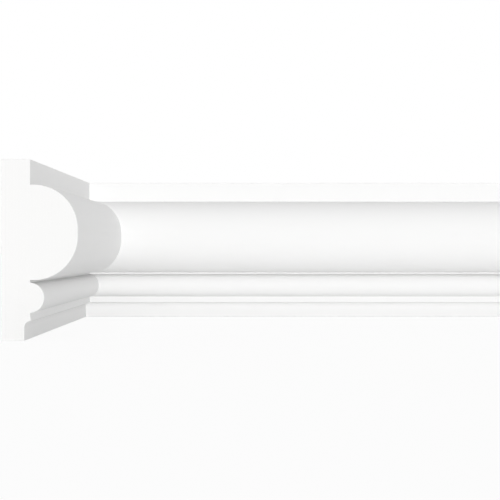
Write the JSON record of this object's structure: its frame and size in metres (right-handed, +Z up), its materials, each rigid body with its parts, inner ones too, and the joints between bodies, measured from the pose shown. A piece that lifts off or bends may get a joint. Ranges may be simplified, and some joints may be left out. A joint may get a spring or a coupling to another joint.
{
  "type": "inside corner run of torus wall moulding",
  "caption": "White wall moulding turning an inside corner: a long run and a short return, mitred, with a half-round torus, a quirk, a bead, a small cove and flat fillets.",
  "frame": {"origin": "foot of the room's inside corner, where the backs of the long run and the return meet", "axes": "+X along the long run, away from the corner; +Y into the wall behind the long run; +Z up. The return comes forward along -Y."},
  "size_m": [2, 0.2, 0.07],
  "materials": {
    "white_primer": "matt white primer on rigid foam, ready to paint"
  },
  "bodies": {
    "root": {"long_run": "white_primer", "short_return": "white_primer"}
  },
  "joints": []
}
